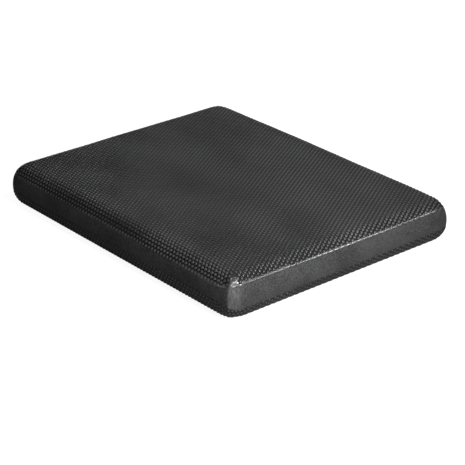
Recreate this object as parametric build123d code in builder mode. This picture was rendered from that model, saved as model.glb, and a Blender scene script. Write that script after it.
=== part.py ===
"""Foam balance pad: a laminated foam core in two anti-slip skins, with a smooth strip round its side.

Millimetres, +Z up, X across the pad and Y along it. The origin is the middle of the underside.
Each skin is formed over a rounded edge of the core and trimmed on the side. The band fills the side between
the two trimmed edges, flush with them: its own edges are skived thin and lie under the skins.
A bond line is left between neighbours, and so no two pieces touch.
"""

import math
import os

from build123d import *

os.makedirs("parts", exist_ok=True)

# Overall form
pad_width = 400.0
pad_length = 500.0
pad_thickness = 60.0  # at the pad's two ends
crown = 1.5  # how far the middle of the standing face swells above its ends
crown_level = 200.0  # length of the level stretch on top of the swell
corner_radius = 32.0
top_edge_radius = 28.0
bottom_edge_radius = 22.0
straight_side = 4.0  # the least height of plain vertical side left between the two rounded edges
corner_margin = 1.5  # how much tighter a rounded edge stays than the corner that it runs round
profile_overrun = 10.0  # how far the side view is drawn past the pad's ends

# Skins and side band
skin_thickness = 1.5
band_thickness = 3.0
bond_line = 0.2
top_turn_down = 11.5  # from the top face, at its ends, down to the trimmed edge of the top skin
bottom_turn_up = 21.8  # from the underside up to the trimmed edge of the bottom skin
skived_lap = 5.0  # height of band that runs on under each skin
seam_gap = 0.3  # open line between a skin's trimmed edge and the band

# Butt joint of the band, at one corner
joint_gap = 0.4
joint_angle = 237.5  # degrees round the corner's own centre, from +X

# Foam core
core_layers = ("core_lower", "core_middle", "core_upper")

# Sizes that follow
edge_room = (pad_thickness - straight_side) / (top_edge_radius + bottom_edge_radius)
top_round = min(top_edge_radius, top_edge_radius * edge_room, corner_radius - corner_margin)
bottom_round = min(bottom_edge_radius, bottom_edge_radius * edge_room, corner_radius - corner_margin)
upper_border = pad_thickness - top_turn_down
lower_border = bottom_turn_up
under_skin = skin_thickness + bond_line
behind_band = band_thickness + bond_line
crown_top = pad_thickness + crown
crown_run = (pad_length - crown_level) / 2
crown_bend = (crown_run ** 2 + crown ** 2) / (2 * crown)  # radius that falls by the crown over the run
core_height = crown_top - 2 * under_skin
layer_height = (core_height - (len(core_layers) - 1) * bond_line) / len(core_layers)


def pad_form(inset):
    """The pad's crowned and rounded block, with its whole surface moved inwards by inset."""
    with BuildPart() as form:
        # Side view: a level top that bends down to the ends. It runs on past them, and the plan trims it.
        with BuildSketch(Plane.YZ):
            with BuildLine():
                centre_height = crown_top - crown_bend
                bend = crown_bend - inset
                turn = math.degrees(math.asin((crown_run + profile_overrun) / crown_bend))
                back = CenterArc((crown_level / 2, centre_height), bend, 90 - turn, turn)
                front = CenterArc((-crown_level / 2, centre_height), bend, 90, turn)
                Line(back @ 1, front @ 0)
                Polyline(front @ 1, ((front @ 1).X, inset), ((back @ 0).X, inset), back @ 0)
            make_face()
        extrude(amount=pad_width / 2, both=True)
        with BuildSketch(Plane.XY):
            RectangleRounded(pad_width - 2 * inset, pad_length - 2 * inset, corner_radius - inset)
        extrude(amount=crown_top, mode=Mode.INTERSECT)
        wall_edges = form.faces().filter_by(lambda face: abs(face.normal_at().Z) < 0.5).edges()
        top_edges = form.faces().filter_by(lambda face: face.normal_at().Z > 0.5).edges()
        fillet([edge for edge in top_edges if edge in wall_edges], top_round - inset)
        fillet(form.faces().sort_by(Axis.Z)[0].edges(), bottom_round - inset)
    return form.part


def ring(outer_inset, inner_inset, low, high):
    """The layer between two depths of the pad's form, cut level at two heights."""
    with BuildPart() as layer:
        add(pad_form(outer_inset))
        add(pad_form(inner_inset), mode=Mode.SUBTRACT)
        split(bisect_by=Plane.XY.offset(low), keep=Keep.TOP)
        split(bisect_by=Plane.XY.offset(high), keep=Keep.BOTTOM)
    return layer.part


# Skins: the outermost layer of the form, above and below the two borders
with BuildPart() as top_skin:
    add(pad_form(0))
    add(pad_form(skin_thickness), mode=Mode.SUBTRACT)
    split(bisect_by=Plane.XY.offset(upper_border), keep=Keep.TOP)

with BuildPart() as bottom_skin:
    add(pad_form(0))
    add(pad_form(skin_thickness), mode=Mode.SUBTRACT)
    split(bisect_by=Plane.XY.offset(lower_border), keep=Keep.BOTTOM)

# Side band: full thickness between the borders, skived where it runs on under the skins
with BuildPart() as side_band:
    add(ring(0, band_thickness, lower_border + seam_gap, upper_border - seam_gap))
    add(ring(under_skin, band_thickness, lower_border - skived_lap, upper_border + skived_lap))
    joint_corner = Vector(corner_radius - pad_width / 2, corner_radius - pad_length / 2)
    joint_reach = corner_radius + band_thickness
    joint_run = Vector(joint_reach / 2, 0).rotate(Axis.Z, joint_angle)
    with Locations(Location(joint_corner + joint_run, (0, 0, joint_angle))):
        Box(joint_reach, joint_gap, pad_thickness, align=(Align.CENTER, Align.CENTER, Align.MIN),
            mode=Mode.SUBTRACT)

# Foam core: fills the skins, with a shallow recess round its side for the band
with BuildPart() as core:
    add(pad_form(under_skin))
    add(ring(0, behind_band, lower_border - skived_lap - bond_line, upper_border + skived_lap + bond_line),
        mode=Mode.SUBTRACT)

for piece, name in ((top_skin, "top_skin"), (bottom_skin, "bottom_skin"), (side_band, "side_band")):
    piece.part.label = name
    export_step(piece.part, f"parts/{name}.step")

# The core is glued up from slabs of equal height
for index, name in enumerate(core_layers):
    layer_base = under_skin + index * (layer_height + bond_line)
    with BuildPart() as slab:
        add(core.part)
        split(bisect_by=Plane.XY.offset(layer_base), keep=Keep.TOP)
        split(bisect_by=Plane.XY.offset(layer_base + layer_height), keep=Keep.BOTTOM)
    slab.part.label = name
    export_step(slab.part, f"parts/{name}.step")
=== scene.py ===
"""Dresses the balance pad: two pip skins, a smooth side band, a laminated foam core, a studio and a camera.

Everything is in metres in the part's own frame: +Z up, X across the pad, Y along it, the origin in the middle
of the underside. The near corner of the main view is the one at -X -Y. A layer says how far a surface lies
outside (+) or inside (-) the pad's nominal surface. A nominal height is one before the crown lifts it.
A heading is the way outwards from the pad, as an angle from +X in degrees.
"""

import logging
import math
from abc import ABC, abstractmethod
from dataclasses import dataclass
from enum import Enum
from typing import Any

import bmesh
import bpy
import numpy as np
from mathutils import Matrix, Vector


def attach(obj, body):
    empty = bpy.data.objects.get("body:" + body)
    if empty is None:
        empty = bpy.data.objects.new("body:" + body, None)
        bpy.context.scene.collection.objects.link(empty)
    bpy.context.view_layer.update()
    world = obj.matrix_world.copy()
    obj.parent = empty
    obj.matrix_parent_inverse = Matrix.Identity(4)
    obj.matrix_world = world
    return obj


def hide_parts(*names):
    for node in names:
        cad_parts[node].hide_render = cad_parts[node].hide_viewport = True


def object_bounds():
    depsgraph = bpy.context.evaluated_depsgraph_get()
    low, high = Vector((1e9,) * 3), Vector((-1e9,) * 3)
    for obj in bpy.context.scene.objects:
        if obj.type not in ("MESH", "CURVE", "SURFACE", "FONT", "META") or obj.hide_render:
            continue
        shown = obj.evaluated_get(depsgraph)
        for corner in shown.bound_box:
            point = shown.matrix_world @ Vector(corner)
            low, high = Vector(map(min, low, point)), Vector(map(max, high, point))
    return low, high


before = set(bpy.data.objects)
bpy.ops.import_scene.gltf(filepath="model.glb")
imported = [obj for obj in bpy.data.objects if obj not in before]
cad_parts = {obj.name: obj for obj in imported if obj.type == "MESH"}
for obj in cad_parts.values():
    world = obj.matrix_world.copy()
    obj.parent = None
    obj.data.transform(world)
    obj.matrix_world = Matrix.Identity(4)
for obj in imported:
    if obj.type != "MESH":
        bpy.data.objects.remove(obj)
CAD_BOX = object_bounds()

MM = 0.001
BODY = "root"
QUARTER_TURN = math.pi / 2
ELASTOMER_IOR = 1.5
WHITE = (1, 1, 1, 1)

log = logging.getLogger("balance_pad")


class Face(Enum):
    """Which face of the pad a skin covers, as the sign of its outward Z."""

    TOP = 1
    BOTTOM = -1


class Side(Enum):
    """The four sides of the pad, as the outward direction's angle from +X in degrees."""

    RIGHT = 0
    BACK = 90
    LEFT = 180
    FRONT = 270


# ---------------------------------------------------------------------------------------------------------
# Small helpers
# ---------------------------------------------------------------------------------------------------------


def linear(hex_colour: str) -> tuple[float, float, float, float]:
    """Turns an sRGB hex colour into linear RGBA.

    Args:
        hex_colour: Six hex digits, such as "2a2a2b".

    Returns:
        Linear red, green and blue, and an alpha of 1.
    """
    channels = [int(hex_colour[i:i + 2], 16) / 255 for i in (0, 2, 4)]
    curve = [c / 12.92 if c <= 0.04045 else ((c + 0.055) / 1.055) ** 2.4 for c in channels]
    return (*curve, 1.0)


def add_node(tree: bpy.types.NodeTree, kind: str, settings: dict[str, Any] | None = None,
             inputs: dict[int | str, Any] | None = None) -> bpy.types.Node:
    """Adds one node with its settings and links.

    Args:
        tree: The tree that gets the node.
        kind: The node's type name.
        settings: Attributes of the node to set.
        inputs: Input sockets by name or index, each with a value or with an output socket to link from.

    Returns:
        The new node.
    """
    node = tree.nodes.new(kind)
    for name, value in (settings or {}).items():
        setattr(node, name, value)
    for key, value in (inputs or {}).items():
        if isinstance(value, bpy.types.NodeSocket):
            tree.links.new(value, node.inputs[key])
        else:
            node.inputs[key].default_value = value
    return node


def smoothstep(t: np.ndarray) -> np.ndarray:
    """Eases 0..1 with level ends."""
    t = np.clip(t, 0.0, 1.0)
    return t * t * (3 - 2 * t)


def bell(t: np.ndarray, power: int = 2) -> np.ndarray:
    """Falls from 1 at 0 to little past 1 and -1, the more squarely the higher its even power."""
    return np.exp(-t ** power)


def heading_of(direction: np.ndarray) -> np.ndarray:
    """Gives the angle of outward directions from +X, in degrees from 0 to 360."""
    return np.degrees(np.arctan2(direction[:, 1], direction[:, 0])) % 360


def put(name: str, data: bpy.types.ID) -> bpy.types.Object:
    """Adds an object to the scene.

    Args:
        name: The object's name.
        data: Its mesh, lamp or camera.

    Returns:
        The object, at the origin.
    """
    made = bpy.data.objects.new(name, data)
    bpy.context.scene.collection.objects.link(made)
    return made


def mesh_object(name: str, vertices: np.ndarray, faces: list[tuple[int, ...]]) -> bpy.types.Object:
    """Makes a smooth-shaded mesh object at the origin.

    Args:
        name: The object's name.
        vertices: Points in metres, one row each.
        faces: Vertex indices of each face, counter-clockwise seen from outside.

    Returns:
        The linked object.
    """
    mesh = bpy.data.meshes.new(name)
    mesh.from_pydata([tuple(v) for v in vertices], [], faces)
    mesh.polygons.foreach_set("use_smooth", [True] * len(mesh.polygons))
    mesh.update()
    return put(name, mesh)


def ring_faces(first: int, around: int, rings: int) -> list[tuple[int, int, int, int]]:
    """Joins rings of points with faces.

    Args:
        first: Index of the first ring's first point.
        around: How many points a ring has.
        rings: Steps from the first ring to the last.

    Returns:
        The corners of each face: two neighbours on a ring, then the same two on the next in reverse.
    """
    faces = []
    for low in range(first, first + rings * around, around):
        high = low + around
        faces += [(low + i, low + (i + 1) % around, high + (i + 1) % around, high + i) for i in range(around)]
    return faces


def note(piece: bpy.types.Object, name: str, values: np.ndarray) -> None:
    """Stores one number on every point of a mesh, for the finish to read."""
    attribute = piece.data.attributes.new(name, "FLOAT", "POINT")
    attribute.data.foreach_set("value", np.asarray(values, np.float32))


def noted(piece: bpy.types.Object, name: str) -> np.ndarray:
    """Reads the numbers that are stored on the points of a mesh.

    Args:
        piece: The piece.
        name: The name that they are stored under.

    Returns:
        One number for each point.
    """
    values = np.empty(len(piece.data.vertices))
    piece.data.attributes[name].data.foreach_get("value", values)
    return values


def merge_doubles(piece: bpy.types.Object, distance: float) -> None:
    """Merges points of a mesh that lie together, and drops what then has no area.

    Args:
        piece: The piece to clean.
        distance: Greatest distance between points that are merged.
    """
    work = bmesh.new()
    work.from_mesh(piece.data)
    bmesh.ops.remove_doubles(work, verts=work.verts, dist=distance)
    bmesh.ops.dissolve_degenerate(work, edges=work.edges, dist=distance)
    work.to_mesh(piece.data)
    work.free()
    piece.data.update()


def apply_modifiers(piece: bpy.types.Object) -> None:
    """Bakes the live modifiers of a piece into its mesh.

    Args:
        piece: The piece, which has no modifiers afterwards.
    """
    evaluated = piece.evaluated_get(bpy.context.evaluated_depsgraph_get())
    mesh = bpy.data.meshes.new_from_object(evaluated)
    piece.modifiers.clear()
    old = piece.data
    piece.data = mesh
    mesh.name = piece.name
    bpy.data.meshes.remove(old)


def thicken(piece: bpy.types.Object, thickness: float) -> None:
    """Gives an open skin its thickness, inwards from its outer surface.

    Args:
        piece: The skin.
        thickness: Its thickness.
    """
    wall = piece.modifiers.new("thickness", "SOLIDIFY")
    wall.thickness = thickness
    wall.offset = -1.0
    apply_modifiers(piece)


def settle(piece: bpy.types.Object, slot: str, material: bpy.types.Material, *nodes: str) -> None:
    """Dresses a finished piece and ties it to the frame.

    Args:
        piece: The finished piece.
        slot: The record's material slot; not used.
        material: The finish.
        nodes: CAD nodes that the piece stands for.
    """
    piece.data.materials.clear()
    piece.data.materials.append(material)
    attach(piece, BODY)
    if nodes:
        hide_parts(*nodes)
    triangles = sum(len(p.vertices) - 2 for p in piece.data.polygons)
    log.info("%s: %d triangles", piece.name, triangles)


# ---------------------------------------------------------------------------------------------------------
# The pad's form
# ---------------------------------------------------------------------------------------------------------


@dataclass(frozen=True)
class Crease:
    """A short fold where the sheet gathers at a corner, running round the corner.

    Attributes:
        start: Heading where the fold starts.
        end: Heading where it ends.
        height: Nominal height of the fold's line at its start.
        rise: How much higher the line is at its end.
        depth: Depth of the fold.
        width: Half width of the fold.
        swell: Height of the swell on both sides, as a share of the depth.
        swell_place: How far the swell's crest is from the fold's line, in half widths of the fold.
        swell_width: Half width of the swell, in half widths of the fold.
        end_taper: Power of the fade towards both ends, which under 1 keeps the fold deep for longer.
    """

    start: float
    end: float
    height: float
    rise: float
    depth: float
    width: float
    swell: float = 0.45
    swell_place: float = 2.1
    swell_width: float = 0.9
    end_taper: float = 0.7

    def press(self, heading: np.ndarray, height: np.ndarray) -> np.ndarray:
        """Gives the inward press of the fold, and the swell beside it as a negative press.

        Args:
            heading: Heading of each point.
            height: Nominal height of each point.

        Returns:
            How far each point moves inwards, in metres.
        """
        along = (heading - self.start) / (self.end - self.start)
        inside = np.clip(4 * along * (1 - along), 0, 1) ** self.end_taper
        line = self.height + self.rise * np.clip(along, 0, 1)
        across = (height - line) / self.width
        beside = bell((np.abs(across) - self.swell_place) / self.swell_width)
        return self.depth * inside * (bell(across) - self.swell * beside)


@dataclass(frozen=True)
class Ridge:
    """A corner whose foam core is drawn out to a soft upright ridge, with a flat flank on each side.

    Attributes:
        heading: Where its crest is.
        height: How far the crest stands out.
        foot: Share of its height that is left at the underside.
        softness: Degrees over which the crest is rounded.
    """

    heading: float
    height: float
    foot: float
    softness: float

    def stand(self, heading: np.ndarray, radius: float) -> tuple[np.ndarray, np.ndarray]:
        """Gives how far the corner stands out, and how that changes round it.

        Args:
            heading: Heading of each point.
            radius: Radius of the corner, which the flanks meet as tangents.

        Returns:
            The extra distance outwards, and its change in metres per radian.
        """
        past = heading - self.heading
        away = np.sqrt(past ** 2 + self.softness ** 2)
        flank = np.degrees(np.arccos(radius / (radius + self.height)))
        left = np.radians(np.clip(flank - away + self.softness, 0, flank))
        slope = -radius * np.tan(left) / np.cos(left) * past / away
        return radius / np.cos(left) - radius, slope


RIDGES = (
    Ridge(heading=219, height=4.6 * MM, foot=0.5, softness=4.5),
    Ridge(heading=313, height=1.2 * MM, foot=1.0, softness=16),
    Ridge(heading=46, height=1.4 * MM, foot=1.0, softness=16),
    Ridge(heading=137, height=1.2 * MM, foot=1.0, softness=16),
)


@dataclass(frozen=True)
class Flat:
    """A place on the rounded upper edge where the gathered sheet is pressed to a flat.

    Attributes:
        heading: Its middle.
        half_width: Its half width in degrees round the corner.
        lean: How far the flat leans up from upright, in degrees.
        half_span: Degrees of the rounded edge from its middle line to its upper and lower line.
        squareness: Even power of its fade to both sides, which when high leaves it flat almost to its ends.
    """

    heading: float
    half_width: float
    lean: float
    half_span: float
    squareness: int = 6

    def press(self, heading: np.ndarray, lean: np.ndarray, radius: float) -> np.ndarray:
        """Gives the inward press of the flat.

        Args:
            heading: Heading of each point.
            lean: How far the surface leans up there, in degrees.
            radius: Radius of the rounded edge.

        Returns:
            How far each point moves inwards, in metres.
        """
        across = np.clip(np.abs(lean - self.lean), 0, self.half_span)
        chord = np.cos(np.radians(self.half_span)) / np.cos(np.radians(across))
        return radius * (1 - chord) * bell((heading - self.heading) / self.half_width, self.squareness)


NEAR_FLAT = Flat(heading=235, half_width=17, lean=49, half_span=15)

# Start, end, height, rise, depth, half width
CREASES = (
    Crease(204, 243, 45.3 * MM, 3.0 * MM, 1.0 * MM, 0.62 * MM),
    Crease(225, 261, 51.6 * MM, 0.6 * MM, 0.55 * MM, 0.6 * MM),
    Crease(214, 224, 43.6 * MM, 0.2 * MM, 0.5 * MM, 0.4 * MM),
    Crease(291, 327, 47.4 * MM, -2.2 * MM, 0.8 * MM, 0.6 * MM),
    Crease(309, 341, 51.0 * MM, 0.8 * MM, 0.5 * MM, 0.6 * MM),
    Crease(27, 67, 46.2 * MM, 1.6 * MM, 0.9 * MM, 0.6 * MM),
    Crease(15, 47, 51.4 * MM, -1.0 * MM, 0.45 * MM, 0.6 * MM),
    Crease(121, 160, 45.8 * MM, 2.4 * MM, 0.8 * MM, 0.6 * MM),
    Crease(107, 141, 50.6 * MM, 1.2 * MM, 0.55 * MM, 0.6 * MM),
)


@dataclass(frozen=True)
class PadForm:
    """The pad's soft rounded block, and how a flat sheet lies over it.

    Attributes:
        width: Size along X.
        length: Size along Y.
        thickness: Size along Z at the two ends.
        crown: How far the middle of the standing face swells above its ends.
        crown_level: Length of the level stretch on top of the swell.
        corner_radius: Radius of the upright corners.
        top_radius: Radius of the rounded upper edge.
        bottom_radius: Radius of the rounded lower edge.
        heel_lift: How far the underside lifts at the two ends.
        side_swell: How far the sides swell out at mid height.
        swell_height: Half height of that swell.
        ripple: Height of the slow unevenness of the foam.
        creased_to: Upward part of the normal up to which a surface counts as rim and can take a crease.
    """

    width: float
    length: float
    thickness: float
    crown: float = 1.5 * MM
    crown_level: float = 200 * MM
    corner_radius: float = 32 * MM
    top_radius: float = 28 * MM
    bottom_radius: float = 22 * MM
    heel_lift: float = 0.3 * MM
    side_swell: float = 0.7 * MM
    swell_height: float = 8 * MM
    ripple: float = 0.15 * MM
    creased_to: float = 0.97

    @property
    def inner(self) -> np.ndarray:
        """Half sizes of the rectangle between the corners' centres."""
        return np.array([self.width, self.length]) / 2 - self.corner_radius

    def edge_radius(self, face: Face) -> float:
        """Radius of the rounded edge beside a face."""
        return self.top_radius if face is Face.TOP else self.bottom_radius

    def outward(self, plan: np.ndarray) -> tuple[np.ndarray, np.ndarray, np.ndarray]:
        """Splits places in plan into a base on the inner rectangle and a way outwards.

        Args:
            plan: One row of x and y for each place.

        Returns:
            The base points, the outward directions and the distances outwards.
        """
        base = np.clip(plan, -self.inner, self.inner)
        out = plan - base
        run = np.linalg.norm(out, axis=1)
        return base, out / np.maximum(run, 1e-9)[:, None], run

    def reach(self, face: Face, height: np.ndarray) -> np.ndarray:
        """Turns a height on the side into a distance along the sheet.

        Args:
            face: The face that the sheet covers.
            height: Nominal heights.

        Returns:
            Distances along the sheet, outwards from the inner rectangle.
        """
        radius = self.edge_radius(face)
        drop = self.thickness - height if face is Face.TOP else height
        turn = np.arccos(np.clip(1 - drop / radius, 0, 1))
        beyond = np.maximum(drop - radius, 0)
        return self.corner_radius - radius + radius * turn + beyond

    def lay(self, sheet: np.ndarray, face: Face, layer: float | np.ndarray = 0.0
            ) -> tuple[np.ndarray, np.ndarray]:
        """Lays points of a flat sheet over a face and down its side.

        Args:
            sheet: Points on the flat sheet, one row of x and y each.
            face: The face that the sheet covers.
            layer: Distance from the nominal surface, outwards.

        Returns:
            The points in space, and the outward normals there.
        """
        base, direction, run = self.outward(sheet)
        radius = self.edge_radius(face)
        shelf = self.corner_radius - radius
        past = run - shelf
        turn = np.clip(past / radius, 0, QUARTER_TURN)
        spread = np.where(past <= 0, run, shelf + radius * np.sin(turn))
        drop = radius * (1 - np.cos(turn)) + np.maximum(past - radius * QUARTER_TURN, 0)
        top = self.thickness if face is Face.TOP else 0.0
        points = np.column_stack([base + direction * spread[:, None], top - face.value * drop])
        normals = np.column_stack([direction * np.sin(turn)[:, None], face.value * np.cos(turn)])
        return self.soften(points, normals, layer)

    def lean(self, height: np.ndarray) -> np.ndarray:
        """Gives how far the side's outward normal leans up from level, in radians.

        Args:
            height: Nominal heights on the side.

        Returns:
            The lean, positive on the rounded upper edge and negative on the lower one.
        """
        rise = np.clip((height - (self.thickness - self.top_radius)) / self.top_radius, 0, 1)
        fall = np.clip((self.bottom_radius - height) / self.bottom_radius, 0, 1)
        return np.arcsin(rise) - np.arcsin(fall)

    def on_side(self, base: np.ndarray, direction: np.ndarray, height: np.ndarray,
                layer: float | np.ndarray) -> np.ndarray:
        """Places points on the pad's side.

        Args:
            base: Base points on the inner rectangle.
            direction: Outward directions.
            height: Nominal heights.
            layer: Distance from the nominal surface, outwards.

        Returns:
            The points in space.
        """
        lean = self.lean(height)
        radius = np.where(lean > 0, self.top_radius, self.bottom_radius)
        spread = self.corner_radius - radius * (1 - np.cos(lean))
        points = np.column_stack([base + direction * spread[:, None], height])
        normals = np.column_stack([direction * np.cos(lean)[:, None], np.sin(lean)])
        return self.soften(points, normals, layer)[0]

    def lift(self, y: np.ndarray, height: np.ndarray) -> np.ndarray:
        """Gives how far the crown and the lifted ends raise points.

        Args:
            y: Places along the pad.
            height: Nominal heights.

        Returns:
            How far each point is raised.
        """
        run = self.length / 2 - self.crown_level / 2
        bend = (run ** 2 + self.crown ** 2) / (2 * self.crown)
        past = np.maximum(np.abs(y) - self.crown_level / 2, 0)
        share = height / self.thickness
        heel = self.heel_lift * (2 * y / self.length) ** 2
        return (self.crown - past ** 2 / (2 * bend)) * share + heel * (1 - share)

    def nominal_height(self, points: np.ndarray) -> np.ndarray:
        """Takes the crown and the lifted ends off the height of points, by a few rounds of correction.

        Args:
            points: Points on the soft surface.

        Returns:
            Their nominal heights.
        """
        height = points[:, 2]
        for _ in range(3):
            height = points[:, 2] - self.lift(points[:, 1], height)
        return height

    def draw_out(self, points: np.ndarray, normals: np.ndarray) -> tuple[np.ndarray, np.ndarray]:
        """Draws the corners out to their ridges.

        Args:
            points: Points on the nominal surface.
            normals: Outward normals there.

        Returns:
            The moved points, and the normals turned with them.
        """
        _, direction, run = self.outward(points[:, :2])
        heading = heading_of(direction)
        out = smoothstep(run / self.corner_radius * 2)
        risen = smoothstep(points[:, 2] / self.bottom_radius)
        points, normals = points.copy(), normals.copy()
        for ridge in RIDGES:
            stand, slope = ridge.stand(heading, self.corner_radius)
            share = out * (ridge.foot * (1 - risen) + risen)
            points[:, :2] += direction * (stand * share)[:, None]
            turn = -np.arctan2(slope * share, np.maximum(run, 1 * MM) + stand)
            cosine, sine = np.cos(turn), np.sin(turn)
            x, y = normals[:, 0].copy(), normals[:, 1].copy()
            normals[:, 0], normals[:, 1] = x * cosine - y * sine, x * sine + y * cosine
        return points, normals

    def wave(self, x: np.ndarray, y: np.ndarray) -> np.ndarray:
        """Gives the foam's slow unevenness: waves 74 to 217 mm long, mixed so that no repeat shows.

        Args:
            x: Places across the pad.
            y: Places along it.

        Returns:
            The height at each place, in ripples.
        """
        return (np.sin(x * 37 + 1.3) * np.sin(y * 29 + 0.4) + 0.6 * np.sin(x * 71 - y * 23 + 2.1)
                + 0.5 * np.sin(y * 83 + x * 17 + 0.7))

    def soften(self, points: np.ndarray, normals: np.ndarray, layer: float | np.ndarray
               ) -> tuple[np.ndarray, np.ndarray]:
        """Moves nominal points to the soft, slightly uneven surface.

        Args:
            points: Points on the nominal surface.
            normals: Outward normals there.
            layer: Distance from the nominal surface, outwards.

        Returns:
            The moved points, and the outward normals there.
        """
        heading = heading_of(self.outward(points[:, :2])[1])
        corner = np.all(np.abs(points[:, :2]) > self.inner - 1e-6, axis=1)
        points, normals = self.draw_out(points, normals)
        x, y, z = points.T
        on_rim = corner * (normals[:, 2] < self.creased_to)
        press = sum(crease.press(heading, z) for crease in CREASES) * on_rim
        leaning = np.degrees(np.arcsin(np.clip(normals[:, 2], -1, 1)))
        press += NEAR_FLAT.press(heading, leaning, self.top_radius) * corner
        middle = (self.thickness - self.top_radius + self.bottom_radius) / 2
        swell = self.side_swell * bell((z - middle) / self.swell_height) * (1 - normals[:, 2] ** 2)
        offset = layer + self.ripple * self.wave(x, y) * smoothstep(z / self.thickness) + swell - press
        moved = points + normals * np.asarray(offset)[..., None]
        moved[:, 2] += self.lift(y, z)
        return moved, normals

    def round_trip(self, per_side: int, per_end: int, per_corner: int) -> tuple[np.ndarray, np.ndarray]:
        """Walks once round the inner rectangle, anticlockwise from the front's left end.

        Args:
            per_side: Steps along each long side.
            per_end: Steps along each short side.
            per_corner: Steps round each corner.

        Returns:
            The base points on the inner rectangle, and the outward directions.
        """
        cx, cy = self.inner
        base, heading = [], []
        legs = (
            ((-cx, -cy), (cx, -cy), Side.FRONT, per_end),
            ((cx, -cy), (cx, cy), Side.RIGHT, per_side),
            ((cx, cy), (-cx, cy), Side.BACK, per_end),
            ((-cx, cy), (-cx, -cy), Side.LEFT, per_side),
        )
        for start, end, side, steps in legs:
            for t in np.arange(steps) / steps:
                base.append(np.array(start) * (1 - t) + np.array(end) * t)
                heading.append(side.value)
            for t in np.arange(per_corner) / per_corner:
                base.append(np.array(end))
                heading.append(side.value + 90 * t)
        angle = np.radians(heading)
        return np.array(base), np.column_stack([np.cos(angle), np.sin(angle)])


@dataclass(frozen=True)
class Dip:
    """A place where a trimmed edge was drawn down at a corner.

    Attributes:
        heading: Its middle.
        depth: How much lower the edge is there.
        half_width: Its half width in degrees.
    """

    heading: float
    depth: float
    half_width: float = 20.0


@dataclass(frozen=True)
class TrimLine:
    """The height at which a skin is trimmed on the side, all the way round.

    Attributes:
        inner: Half sizes of the rectangle between the corners' centres.
        heights: Nominal height at both ends of each side of the pad, anticlockwise.
        dips: Where it was drawn down at the corners.
        sway: Height of its slow wander along the sides.
        sway_waves: How fast it wanders along X and along Y, in radians per metre.
        sway_start: Where in that wander it starts, in radians.
    """

    inner: np.ndarray
    heights: dict[Side, tuple[float, float]]
    dips: tuple[Dip, ...]
    sway: float = 0.35 * MM
    sway_waves: tuple[float, float] = (18.0, -27.0)
    sway_start: float = -1.5

    def height(self, base: np.ndarray, direction: np.ndarray) -> np.ndarray:
        """Gives the trimmed height.

        Args:
            base: Base points on the inner rectangle.
            direction: Outward directions there.

        Returns:
            The nominal height of the line at each point.
        """
        heading = heading_of(direction)
        levels = np.array([self.heights[side] for side in (Side.RIGHT, Side.BACK, Side.LEFT, Side.FRONT)])
        leg = np.clip((heading // 90).astype(int), 0, 3)
        turned = smoothstep((heading - 90 * leg) / 90)
        walk = np.stack([base[:, 1], -base[:, 0], -base[:, 1], base[:, 0]], 1)
        half = np.tile(self.inner[::-1], 2)
        along = np.clip((walk / half + 1) / 2, 0, 1)[np.arange(len(leg)), leg]
        here = levels[leg, 0] * (1 - along) + levels[leg, 1] * along
        level = here * (1 - turned) + levels[(leg + 1) % 4, 0] * turned
        drawn = sum(dip.depth * bell((heading - dip.heading) / dip.half_width) for dip in self.dips)
        sway = self.sway * np.sin(base @ np.array(self.sway_waves) + self.sway_start)
        return level - drawn + sway


# ---------------------------------------------------------------------------------------------------------
# Finishes
# ---------------------------------------------------------------------------------------------------------


DUST_FROM = 54 * MM
DUST_FULL = 60 * MM


def level_share(tree: bpy.types.NodeTree) -> bpy.types.NodeSocket:
    """Adds nodes that tell the level upper face from the rims by its height, as dust settles there.

    Args:
        tree: The tree that gets the nodes.

    Returns:
        A socket from 0 on the rims to 1 on the level face.
    """
    place = add_node(tree, "ShaderNodeTexCoord").outputs["Object"]
    axes = add_node(tree, "ShaderNodeSeparateXYZ", {}, {0: place})
    rise = add_node(tree, "ShaderNodeMapRange", {"interpolation_type": "SMOOTHSTEP"}, {
        "Value": axes.outputs[2], "From Min": DUST_FROM, "From Max": DUST_FULL})
    return rise.outputs["Result"]


@dataclass(frozen=True)
class Finish(ABC):
    """A finish, as a node material that ends in one shader.

    Attributes:
        name: The material's name.
    """

    name: str

    @abstractmethod
    def shade(self, tree: bpy.types.NodeTree) -> bpy.types.NodeSocket:
        """Adds the finish's nodes to an empty tree and gives the socket of its shader."""

    def material(self) -> bpy.types.Material:
        """Builds the node material.

        Returns:
            The finished material.
        """
        made = bpy.data.materials.new(self.name)
        made.use_nodes = True
        tree = made.node_tree
        tree.nodes.clear()
        add_node(tree, "ShaderNodeOutputMaterial", {}, {"Surface": self.shade(tree)})
        return made


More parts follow.
